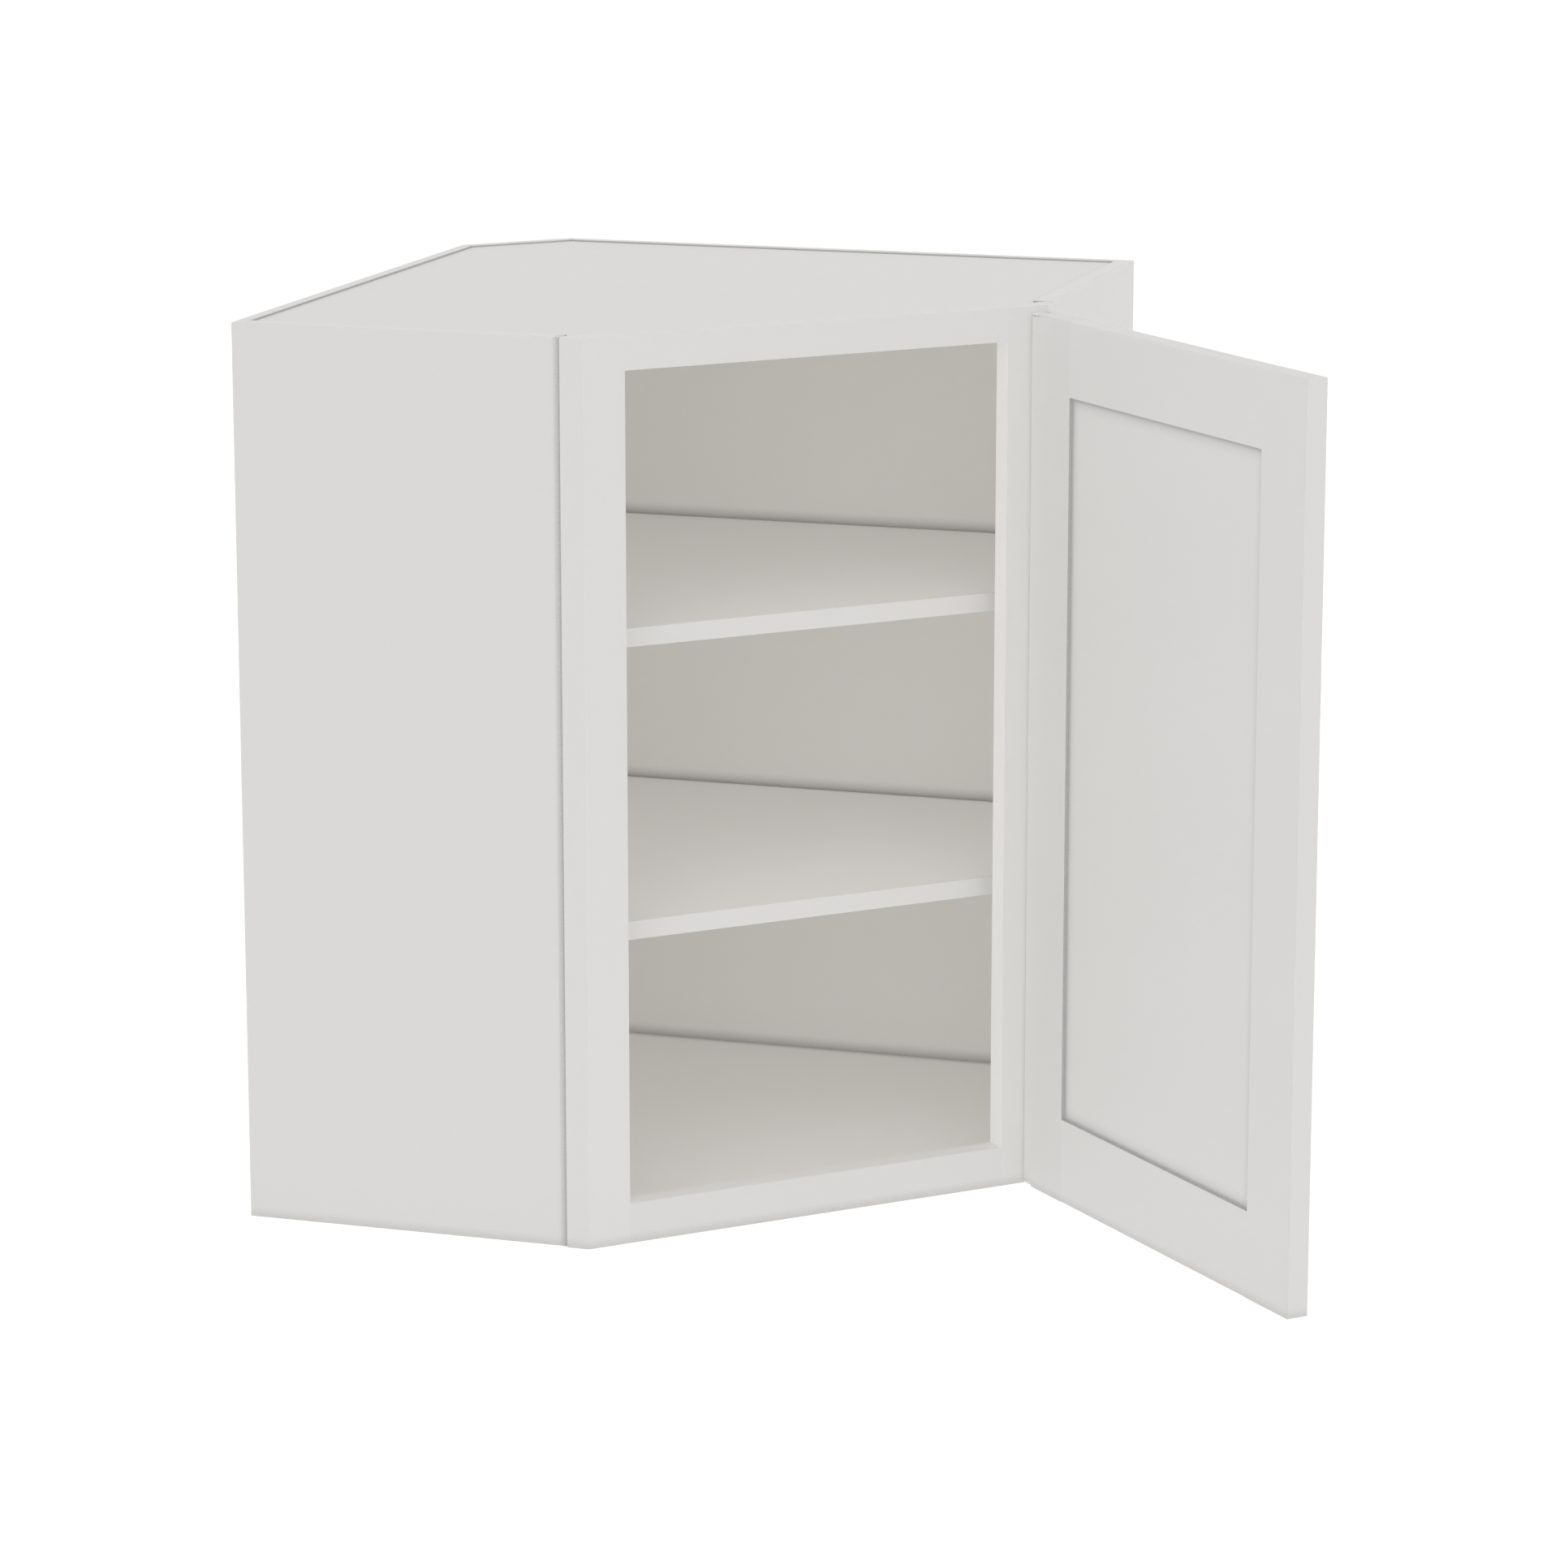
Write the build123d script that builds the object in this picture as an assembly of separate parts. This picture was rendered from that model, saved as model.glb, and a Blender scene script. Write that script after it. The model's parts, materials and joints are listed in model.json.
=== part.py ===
from build123d import *
import math
import os

# Diagonal corner wall cabinet: two end panels square to the room walls, a face frame across
# the corner between them, one framed door, two loose shelves.
#
# All sizes are in millimetres. Two frames are used below.
#   Plan frame:  the room's wall corner is at (0, 0), +X runs right along the rear wall,
#                +Y runs into the rear wall, +Z is up from the cabinet's underside.
#   Front frame: +X runs right along the face frame, +Y runs from the frame's face into the
#                cabinet, and x = 0 is the middle of the frame.

# Carcass
cabinet_height = 762.0
wall_run = 607.2              # wall corner to the outer face of an end panel
end_depth = 304.8             # wall to the front corner of the face frame
board_thickness = 16.0        # end, top and bottom panels
wall_panel_thickness = 10.0   # the panels that lie on the room walls
corner_cut = 76.2             # how much of each wall the slanted corner panel cuts off
rebate_depth = 8.0            # how far a wall panel is let into an end panel
top_recess = 1.5              # top panel below the edges around it

# Face frame
frame_thickness = 19.05
frame_proud = 2.4             # stile bevel outside the end panel's face
bevel_length = 19.4
stile_face_width = 38.1
top_rail_height = 28.5
bottom_rail_height = 34.5
frame_arris = 0.8             # easing of the stiles' front corners

# Door
door_thickness = 19.05
door_side_reveal = 4.0
door_top_reveal = 4.7
door_bottom_reveal = 0.6
door_gap = 3.5                # closed door's back to the frame's face
door_stile_width = 63.5
door_top_rail_height = 63.5
door_bottom_rail_height = 72.8
door_arris = 1.0
door_panel_thickness = 9.5
door_inner_recess = 3.0       # panel below the door's inside face
door_groove_depth = 10.0
door_groove_clearance = 0.1   # panel and tongues in the groove, each side
door_tongue_gap = 0.5         # tongue's end to the groove's bottom
door_panel_float = 2.0        # panel edge to the groove's bottom
spacer_length = 12.0
spacer_inset = 90.0           # spacer's middle from the panel's corner

# Pivot hinges in the ends of the door
pivot_from_edge = 7.1         # pin axis from the door's hinge-side edge
pivot_from_back = 5.7         # pin axis from the door's inside face
leaf_thickness = 2.0
leaf_width = 9.0
leaf_height = 42.0
leaf_bend_radius = 2.2
leaf_cover = 0.3              # leaf's tab below the end of the door
hinge_running_gap = 0.2       # tab to the bush's flange
hinge_pin_radius = 2.5
hinge_pin_depth = 12.0        # pin's reach into the bush
pin_end_chamfer = 0.5
pin_slot_width = 0.9
pin_slot_depth = 0.9
bush_running_clearance = 0.05
bush_wall = 1.0
bush_flange_radius = 5.0
bush_flange_thickness = 1.0
bush_floor = 1.5              # bush's bore ends this far above its base
notch_clearance = 0.6         # door's notch around the bush's flange
notch_swing_room = 2.3        # the notch's extra room for a door past square
hinge_screw_radius = 1.6
hinge_screw_length = 15.0
hinge_screw_head_radius = 3.2
hinge_screw_head_height = 1.6
hinge_screw_from_end = 11.0   # first screw below the tab
hinge_screw_spacing = 20.0

# Shelves
shelf_thickness = 16.0
lower_shelf_underside = 247.5
upper_shelf_underside = 496.1
shelf_setback = 46.0          # frame's face to the shelf's front edge
shelf_clearance = 2.0
edging_thickness = 1.0

# Shelf pins
shelf_pin_radius = 2.5
shelf_pin_bore = 8.0
collar_radius = 4.0
collar_thickness = 1.2
tongue_length = 9.0
tongue_width = 8.0
tongue_thickness = 2.5
end_pin_from_wall = 50.0      # rear pin in an end panel
end_pin_from_front = 50.0     # front pin, from the end panel's front
wall_pin_from_corner = 120.0

# Wall screws, through the wall panels at the usual stud spacing
stud_spacing = 406.4
wall_screw_from_corner = 98.0
wall_screw_low = 62.0
wall_screw_high = 720.0
wall_screw_hole_radius = 2.6

# Joinery
frame_dowel_radius = 3.0
frame_dowel_length = 30.0
frame_dowel_spacing = 14.0
carcass_dowel_radius = 4.0
carcass_dowel_length = 30.0
carcass_dowel_in_end = 10.0   # the dowel's depth in the end panel
carcass_dowel_margin = 45.0   # outer dowels from the wall and from the frame
corner_slit = 1.5             # top and bottom panels' horn to the end panel's front
glue_block_length = 60.0
glue_block_inset = 70.0       # outer blocks' ends from the underside and the top
nail_radius = 0.8
nail_length = 30.0
nail_head_radius = 1.7
nail_head_thickness = 0.8
nail_margin = 60.0            # outer nails from a panel's corner

# ------------------------------------------------------------------ worked out from the above
root_two = math.sqrt(2.0)
frame_run = wall_run + frame_proud
end_inner = wall_run - board_thickness
panel_front = end_depth - bevel_length
frame_half = (frame_run - end_depth) / root_two
frame_middle = (frame_run + end_depth) / 2.0
opening_half = frame_half - stile_face_width
opening_top = cabinet_height - top_rail_height
top_panel_high = cabinet_height - top_recess
top_panel_low = top_panel_high - board_thickness
# x - y in the plan frame is the same all along a line parallel to the face frame.
frame_back_line = 2.0 * frame_middle - frame_thickness * root_two
corner_inner_line = corner_cut + wall_panel_thickness * root_two
mitre_step = wall_panel_thickness * math.tan(math.radians(22.5))

door_right = frame_half - door_side_reveal
door_left = -door_right
door_top = cabinet_height - door_top_reveal
door_bottom = door_bottom_reveal
door_back = -door_gap
door_face = door_back - door_thickness
pivot_x = door_right - pivot_from_edge
pivot_y = door_back - pivot_from_back
notch_depth = leaf_cover + leaf_thickness + hinge_running_gap + bush_flange_thickness
bush_radius = hinge_pin_radius + bush_running_clearance + bush_wall

wall_screw_middle = wall_screw_from_corner + stud_spacing / 2.0
wall_screw_centre = (wall_screw_low + wall_screw_high) / 2.0
# The row's origin is the middle of the rear wall's screw pattern, on the wall.
to_row = Pos(-wall_screw_middle, 0.0, -wall_screw_centre)
front = Location((frame_middle, -frame_middle, 0.0), (0.0, 0.0, 45.0))
door_open = 90.0              # the door stands open at rest

parts = {}


def prism(outline, low, high):
    """A board with a plan outline, from one height to another."""
    return Pos(0.0, 0.0, low) * extrude(make_face(Polyline(*outline, close=True)), high - low)


def block(x_range, y_range, z_range):
    """A box between two limits along each axis."""
    sizes = [high - low for low, high in (x_range, y_range, z_range)]
    corner = Pos(x_range[0], y_range[0], z_range[0])
    return corner * Box(*sizes, align=(Align.MIN, Align.MIN, Align.MIN))


def rod(start, along, radius, length):
    """A round rod from a point, along a direction."""
    upright = Cylinder(radius, length, align=(Align.CENTER, Align.CENTER, Align.MIN))
    return Plane(origin=start, z_dir=along) * upright


def mirrored(outline):
    """The same plan outline on the other side of the corner's diagonal."""
    return [(-y, -x) for x, y in outline]


# ------------------------------------------------------------------ joinery inside the carcass
def carcass_dowels():
    """Dowels that join the top and bottom panels to the end panels."""
    dowels = []
    near = wall_panel_thickness + carcass_dowel_margin
    far = panel_front - carcass_dowel_margin
    heights = (board_thickness / 2.0, top_panel_low + board_thickness / 2.0)
    for height in heights:
        for reach in (near, (near + far) / 2.0, far):
            left_start = (reach, -end_inner - carcass_dowel_in_end, height)
            right_start = (end_inner + carcass_dowel_in_end, -reach, height)
            dowels.append(rod(left_start, (0, 1, 0), carcass_dowel_radius, carcass_dowel_length))
            dowels.append(rod(right_start, (-1, 0, 0), carcass_dowel_radius, carcass_dowel_length))
    return dowels


def nail(head, along):
    """A flat-headed nail, its head flush with the panel."""
    shank = rod(head, along, nail_radius, nail_length)
    return shank + rod(head, along, nail_head_radius, nail_head_thickness)


def wall_panel_nails():
    """Nails through the wall panels into the end, top and bottom panels."""
    nails = []
    low = board_thickness / 2.0
    high = top_panel_low + board_thickness / 2.0
    near = corner_cut + nail_margin
    far = end_inner - nail_margin
    for height in (low, high):
        for reach in (near, (near + far) / 2.0, far):
            nails.append(nail((0.0, -reach, height), (1, 0, 0)))
            nails.append(nail((reach, 0.0, height), (0, -1, 0)))
        nails.append(nail((corner_cut / 2.0, -corner_cut / 2.0, height), (1, -1, 0)))
    edge = end_inner + rebate_depth / 2.0
    steps = 4
    for step in range(steps + 1):
        height = nail_margin + (cabinet_height - 2.0 * nail_margin) * step / steps
        nails.append(nail((0.0, -edge, height), (1, 0, 0)))
        nails.append(nail((edge, 0.0, height), (0, -1, 0)))
    return nails


def shelf_pin(mouth, along, underside):
    """A spoon pin: a stub in the panel, a collar and a flat tongue under the shelf."""
    x, y, _ = mouth
    axis_height = underside - tongue_thickness
    face = Plane(origin=(x, y, axis_height), x_dir=(0, 0, 1), z_dir=along)
    stub = Cylinder(shelf_pin_radius, shelf_pin_bore,
                    align=(Align.CENTER, Align.CENTER, Align.MAX))
    collar = Cylinder(collar_radius, collar_thickness,
                      align=(Align.CENTER, Align.CENTER, Align.MIN))
    tongue = Box(tongue_thickness, tongue_width, tongue_length,
                 align=(Align.MIN, Align.CENTER, Align.MIN))
    return face * (stub + collar + tongue)


def shelf_pins(underside):
    """The six pins that carry one shelf."""
    reaches = (end_pin_from_wall, panel_front - end_pin_from_front)
    pins = []
    for reach in reaches:
        pins.append(shelf_pin((reach, -end_inner, 0.0), (0, 1, 0), underside))
        pins.append(shelf_pin((end_inner, -reach, 0.0), (-1, 0, 0), underside))
    pins.append(shelf_pin((wall_panel_thickness, -wall_pin_from_corner, 0.0), (1, 0, 0), underside))
    pins.append(shelf_pin((wall_pin_from_corner, -wall_panel_thickness, 0.0), (0, -1, 0), underside))
    return pins


dowels_in_carcass = carcass_dowels()
nails_in_walls = wall_panel_nails()
lower_pins = shelf_pins(lower_shelf_underside)
upper_pins = shelf_pins(upper_shelf_underside)
carcass_inserts = dowels_in_carcass + nails_in_walls + lower_pins + upper_pins

parts["carcass_dowels"] = Compound(dowels_in_carcass)
parts["wall_panel_nails"] = Compound(nails_in_walls)
parts["lower_shelf_pins"] = Compound(lower_pins)
parts["upper_shelf_pins"] = Compound(upper_pins)


# ------------------------------------------------------------------ carcass panels
def end_panel():
    """Plan outline of the left end panel, with the rebate for the wall panel."""
    return [
        (0.0, -wall_run),
        (panel_front, -wall_run),
        (panel_front, -end_inner),
        (wall_panel_thickness, -end_inner),
        (wall_panel_thickness, -end_inner - rebate_depth),
        (0.0, -end_inner - rebate_depth),
    ]


def wall_panel():
    """Plan outline of the left wall panel, mitred where it meets the corner panel."""
    return [
        (0.0, -end_inner - rebate_depth),
        (wall_panel_thickness, -end_inner - rebate_depth),
        (wall_panel_thickness, -corner_cut - mitre_step),
        (0.0, -corner_cut),
    ]


def corner_panel():
    """Plan outline of the slanted panel across the wall corner."""
    return [
        (0.0, -corner_cut),
        (wall_panel_thickness, -corner_cut - mitre_step),
        (corner_cut + mitre_step, -wall_panel_thickness),
        (corner_cut, 0.0),
    ]


def level_panel():
    """Plan outline of the top and bottom panels, with a horn beside each stile."""
    horn = panel_front + corner_slit
    left_half = [
        (wall_panel_thickness, -corner_cut - mitre_step),
        (wall_panel_thickness, -end_inner),
        (horn, -end_inner),
        (horn, horn - frame_back_line),
    ]
    return left_half + mirrored(left_half)[::-1]


def wall_screw_holes():
    """Bores through the two wall panels for the screws into the studs."""
    bores = []
    for height in (wall_screw_low, wall_screw_high):
        for reach in (wall_screw_from_corner, wall_screw_from_corner + stud_spacing):
            bores.append(rod((0.0, -reach, height), (1, 0, 0),
                             wall_screw_hole_radius, wall_panel_thickness))
            bores.append(rod((reach, 0.0, height), (0, -1, 0),
                             wall_screw_hole_radius, wall_panel_thickness))
    return bores


boards = {
    "left_end_panel": prism(end_panel(), 0.0, cabinet_height),
    "right_end_panel": prism(mirrored(end_panel()), 0.0, cabinet_height),
    "left_wall_panel": prism(wall_panel(), 0.0, cabinet_height),
    "rear_wall_panel": prism(mirrored(wall_panel()), 0.0, cabinet_height),
    "corner_wall_panel": prism(corner_panel(), 0.0, cabinet_height),
    "top_panel": prism(level_panel(), top_panel_low, top_panel_high),
    "bottom_panel": prism(level_panel(), 0.0, board_thickness),
}
for name, board in boards.items():
    parts[name] = board - carcass_inserts
for name in ("left_wall_panel", "rear_wall_panel"):
    parts[name] = parts[name] - wall_screw_holes()


# ------------------------------------------------------------------ glue blocks behind the stiles
def glue_blocks(outline):
    """Three short blocks in the angle between an end panel and the frame's back."""
    top = cabinet_height - glue_block_inset
    middle = (glue_block_inset + top) / 2.0
    lows = (glue_block_inset, middle - glue_block_length / 2.0, top - glue_block_length)
    return Compound([prism(outline, low, low + glue_block_length) for low in lows])


glue_angle = [
    (panel_front, -end_inner),
    (panel_front, panel_front - frame_back_line),
    (frame_back_line - end_inner, -end_inner),
]
parts["left_glue_blocks"] = glue_blocks(glue_angle)
parts["right_glue_blocks"] = glue_blocks(mirrored(glue_angle))


# ------------------------------------------------------------------ pivot hinges (front frame)
def hinge_leaf(low_end):
    """A bent steel leaf: an upright let into the stile and a tab under or over the pin."""
    half = leaf_width / 2.0
    turn = 1.0 if low_end else -1.0
    outer = door_bottom + leaf_cover if low_end else door_top - leaf_cover
    tab = sorted((outer, outer + turn * leaf_thickness))
    upright = sorted((outer, outer + turn * leaf_height))
    leaf = block((pivot_x - half, pivot_x + half), (pivot_y, leaf_thickness), tab)
    leaf += block((pivot_x - half, pivot_x + half), (0.0, leaf_thickness), upright)
    leaf += rod((pivot_x, pivot_y, tab[0]), (0, 0, 1), half, leaf_thickness)
    bend = leaf.edges().filter_by(Axis.X).sort_by_distance((pivot_x, leaf_thickness, outer))[0]
    leaf = fillet(bend, leaf_bend_radius)
    return leaf


def hinge_pin(low_end):
    """A headless pin, held in the tab, with a driver slot in its outer end."""
    turn = 1.0 if low_end else -1.0
    outer = door_bottom + leaf_cover if low_end else door_top - leaf_cover
    length = leaf_thickness + hinge_running_gap + bush_flange_thickness + hinge_pin_depth
    pin = rod((pivot_x, pivot_y, outer), (0, 0, turn), hinge_pin_radius, length)
    inner_end = pin.edges().filter_by(GeomType.CIRCLE).sort_by(Axis.Z)[-1 if low_end else 0]
    pin = chamfer(inner_end, pin_end_chamfer)
    slot = sorted((outer, outer + turn * pin_slot_depth))
    return pin - block((pivot_x - hinge_pin_radius, pivot_x + hinge_pin_radius),
                       (pivot_y - pin_slot_width / 2.0, pivot_y + pin_slot_width / 2.0), slot)


def hinge_bush(low_end):
    """A flanged plastic bush pressed into the end of the door's hinge stile."""
    turn = 1.0 if low_end else -1.0
    seat = door_bottom + notch_depth if low_end else door_top - notch_depth
    depth = hinge_pin_depth + bush_floor
    bush = rod((pivot_x, pivot_y, seat), (0, 0, turn), bush_radius, depth)
    bush += rod((pivot_x, pivot_y, seat), (0, 0, -turn), bush_flange_radius, bush_flange_thickness)
    mouth = seat - turn * bush_flange_thickness
    bore = hinge_pin_depth + bush_flange_thickness + bush_floor / 2.0
    return bush - rod((pivot_x, pivot_y, mouth), (0, 0, turn),
                      hinge_pin_radius + bush_running_clearance, bore)


def hinge_screws(low_end):
    """Two countersunk screws through the leaf's upright into the stile."""
    turn = 1.0 if low_end else -1.0
    outer = door_bottom + leaf_cover if low_end else door_top - leaf_cover
    screws = []
    for count in range(2):
        height = outer + turn * (hinge_screw_from_end + count * hinge_screw_spacing)
        face = Plane(origin=(pivot_x, 0.0, height), z_dir=(0, 1, 0))
        head = Cone(hinge_screw_head_radius, hinge_screw_radius, hinge_screw_head_height,
                    align=(Align.CENTER, Align.CENTER, Align.MIN))
        shank = Cylinder(hinge_screw_radius, hinge_screw_length,
                         align=(Align.CENTER, Align.CENTER, Align.MIN))
        screws.append(face * (head + shank))
    return screws


ends = {"bottom": True, "top": False}
leaf_screws = []
leaves = {}
for name, low_end in ends.items():
    screws = hinge_screws(low_end)
    leaf_screws += screws
    pin = hinge_pin(low_end)
    leaves[name] = hinge_leaf(low_end)
    hole = rod((pivot_x, pivot_y, 0.0), (0, 0, 1), hinge_pin_radius, cabinet_height)
    parts[name + "_hinge_leaf"] = front * (leaves[name] - screws - hole)
    parts[name + "_hinge_pin"] = front * pin
parts["hinge_screws"] = front * Compound(leaf_screws)


# ------------------------------------------------------------------ face frame (front frame)
def frame_dowels():
    """Two dowels in each joint between a rail and a stile."""
    dowels = []
    middles = (bottom_rail_height / 2.0, cabinet_height - top_rail_height / 2.0)
    for middle in middles:
        for offset in (-frame_dowel_spacing / 2.0, frame_dowel_spacing / 2.0):
            for side in (-1.0, 1.0):
                start = (side * opening_half - frame_dowel_length / 2.0,
                         frame_thickness / 2.0, middle + offset)
                dowels.append(rod(start, (1, 0, 0), frame_dowel_radius, frame_dowel_length))
    return dowels


def frame_stile():
    """The left stile: bevelled in line with the end panel, square behind the bevel."""
    bevel_reach = bevel_length / root_two
    back_step = frame_thickness - bevel_reach
    outline = [
        (-frame_half, 0.0),
        (-opening_half, 0.0),
        (-opening_half, frame_thickness),
        (-frame_half - bevel_reach + back_step, frame_thickness),
        (-frame_half - bevel_reach, bevel_reach),
    ]
    stile = prism(outline, 0.0, cabinet_height)
    upright_edges = stile.edges().filter_by(Axis.Z)
    arris = upright_edges.sort_by_distance((-frame_half, 0.0, cabinet_height / 2.0))[0]
    return fillet(arris, frame_arris)


def leaf_mortise(leaf):
    """The square-cornered pocket that a leaf's upright lies in."""
    reach = leaf.bounding_box()
    return block((reach.min.X, reach.max.X), (0.0, leaf_thickness), (reach.min.Z, reach.max.Z))


frame_pegs = frame_dowels()
left_stile = frame_stile()
right_stile = mirror(left_stile, about=Plane.YZ)
mortises = [leaf_mortise(leaf) for leaf in leaves.values()]
rail_span = (-opening_half, opening_half)
rail_depth = (0.0, frame_thickness)
top_rail = block(rail_span, rail_depth, (opening_top, cabinet_height))
bottom_rail = block(rail_span, rail_depth, (0.0, bottom_rail_height))
parts["frame_left_stile"] = front * (left_stile - frame_pegs)
parts["frame_right_stile"] = front * (right_stile - frame_pegs - mortises - leaf_screws)
parts["frame_top_rail"] = front * (top_rail - frame_pegs)
parts["frame_bottom_rail"] = front * (bottom_rail - frame_pegs)
parts["frame_dowels"] = front * Compound(frame_pegs)


# ------------------------------------------------------------------ door (front frame, closed)
panel_back = door_back - door_inner_recess
panel_face = panel_back - door_panel_thickness
groove = (panel_face - door_groove_clearance, panel_back + door_groove_clearance)
field_left = door_left + door_stile_width
field_right = door_right - door_stile_width
field_low = door_bottom + door_bottom_rail_height
field_high = door_top - door_top_rail_height


def on_face(edge):
    """Whether an edge lies in the door's front or inside face."""
    depth = edge.center().Y
    return min(abs(depth - door_face), abs(depth - door_back)) < door_arris / 2.0


def door_stile(outer, inner):
    """A full-height stile, grooved on its inner edge."""
    stile = block(sorted((outer, inner)), (door_face, door_back), (door_bottom, door_top))
    arrises = [edge for edge in stile.edges()
               if abs(edge.center().X - inner) > door_arris
               and (on_face(edge) and edge.length > door_stile_width + door_arris
                    or abs(edge.center().X - outer) < door_arris and not on_face(edge))]
    stile = fillet(arrises, door_arris)
    inwards = math.copysign(door_groove_depth, outer - inner)
    return stile - block(sorted((inner, inner + inwards)), groove, (door_bottom, door_top))


def door_rail(outer, inner):
    """A rail between the stiles, grooved on its inner edge and tongued at both ends."""
    rail = block((field_left, field_right), (door_face, door_back), sorted((outer, inner)))
    arrises = [edge for edge in rail.edges().filter_by(Axis.X)
               if abs(edge.center().Z - outer) < door_arris]
    rail = fillet(arrises, door_arris)
    reach = door_groove_depth - door_tongue_gap
    rail += block((field_left - reach, field_right + reach), (panel_face, panel_back),
                  sorted((outer, inner)))
    inwards = math.copysign(door_groove_depth, outer - inner)
    return rail - block((field_left - reach, field_right + reach), groove,
                        sorted((inner, inner + inwards)))


def hinge_notch(low_end):
    """The pocket in the end of the hinge stile that the leaf's tab swings in."""
    across = (pivot_x - bush_flange_radius - notch_clearance, door_right)
    deep = (pivot_y - bush_flange_radius - notch_swing_room, door_back)
    if low_end:
        return block(across, deep, (door_bottom, door_bottom + notch_depth))
    return block(across, deep, (door_top - notch_depth, door_top))


def panel_spacers():
    """Soft blocks in the grooves that keep the panel centred and quiet."""
    groove_left = field_left - door_groove_depth
    groove_right = field_right + door_groove_depth
    groove_low = field_low - door_groove_depth
    groove_high = field_high + door_groove_depth
    half = spacer_length / 2.0
    depth = (panel_face, panel_back)
    spacers = []
    for middle in (groove_low + spacer_inset, groove_high - spacer_inset):
        span = (middle - half, middle + half)
        spacers.append(block((groove_left, groove_left + door_panel_float), depth, span))
        spacers.append(block((groove_right - door_panel_float, groove_right), depth, span))
    for middle in (groove_left + spacer_inset, groove_right - spacer_inset):
        span = (middle - half, middle + half)
        spacers.append(block(span, depth, (groove_low, groove_low + door_panel_float)))
        spacers.append(block(span, depth, (groove_high - door_panel_float, groove_high)))
    return spacers


bushes = {name: hinge_bush(low_end) for name, low_end in ends.items()}
notches = [hinge_notch(low_end) for low_end in ends.values()]
panel_reach = door_groove_depth - door_panel_float
hinge_stile = door_stile(door_right, field_right)
sockets = [rod((pivot_x, pivot_y, door_bottom), (0, 0, 1), bush_radius,
               notch_depth + hinge_pin_depth + bush_floor),
           rod((pivot_x, pivot_y, door_top), (0, 0, -1), bush_radius,
               notch_depth + hinge_pin_depth + bush_floor)]
door = {
    "door_hinge_stile": hinge_stile - notches - sockets,
    "door_free_stile": door_stile(door_left, field_left),
    "door_top_rail": door_rail(door_top, field_high),
    "door_bottom_rail": door_rail(door_bottom, field_low),
    "door_panel": block((field_left - panel_reach, field_right + panel_reach),
                        (panel_face, panel_back),
                        (field_low - panel_reach, field_high + panel_reach)),
    "door_panel_spacers": Compound(panel_spacers()),
    "bottom_hinge_bush": bushes["bottom"],
    "top_hinge_bush": bushes["top"],
}
pivot_axis = Axis((pivot_x, pivot_y, 0.0), (0, 0, 1))
for name, member in door.items():
    parts[name] = front * member.rotate(pivot_axis, door_open)


# ------------------------------------------------------------------ shelves
def shelf_board():
    """Plan outline of a shelf, clear of the walls all round, straight across the front."""
    near = wall_panel_thickness + shelf_clearance
    far = end_inner - shelf_clearance
    corner_line = corner_inner_line + shelf_clearance * root_two
    front_line = 2.0 * frame_middle - (shelf_setback + edging_thickness) * root_two
    left_half = [
        (near, near - corner_line),
        (near, -far),
        (front_line - far, -far),
    ]
    return left_half + mirrored(left_half)[::-1]


def shelf_edging(underside):
    """The strip glued to the shelf's front edge (front frame)."""
    far = end_inner - shelf_clearance
    edging_face_line = 2.0 * frame_middle - shelf_setback * root_two
    half = (2.0 * far - edging_face_line) / root_two
    return block((-half, half), (shelf_setback, shelf_setback + edging_thickness),
                 (underside, underside + shelf_thickness))


undersides = {"lower_shelf": lower_shelf_underside, "upper_shelf": upper_shelf_underside}
for name, underside in undersides.items():
    parts[name] = prism(shelf_board(), underside, underside + shelf_thickness)
    parts[name + "_edging"] = front * shelf_edging(underside)


# ------------------------------------------------------------------ one file per piece
os.makedirs("parts", exist_ok=True)
for name, shape in parts.items():
    export_step(to_row * shape, "parts/" + name + ".step")
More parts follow.
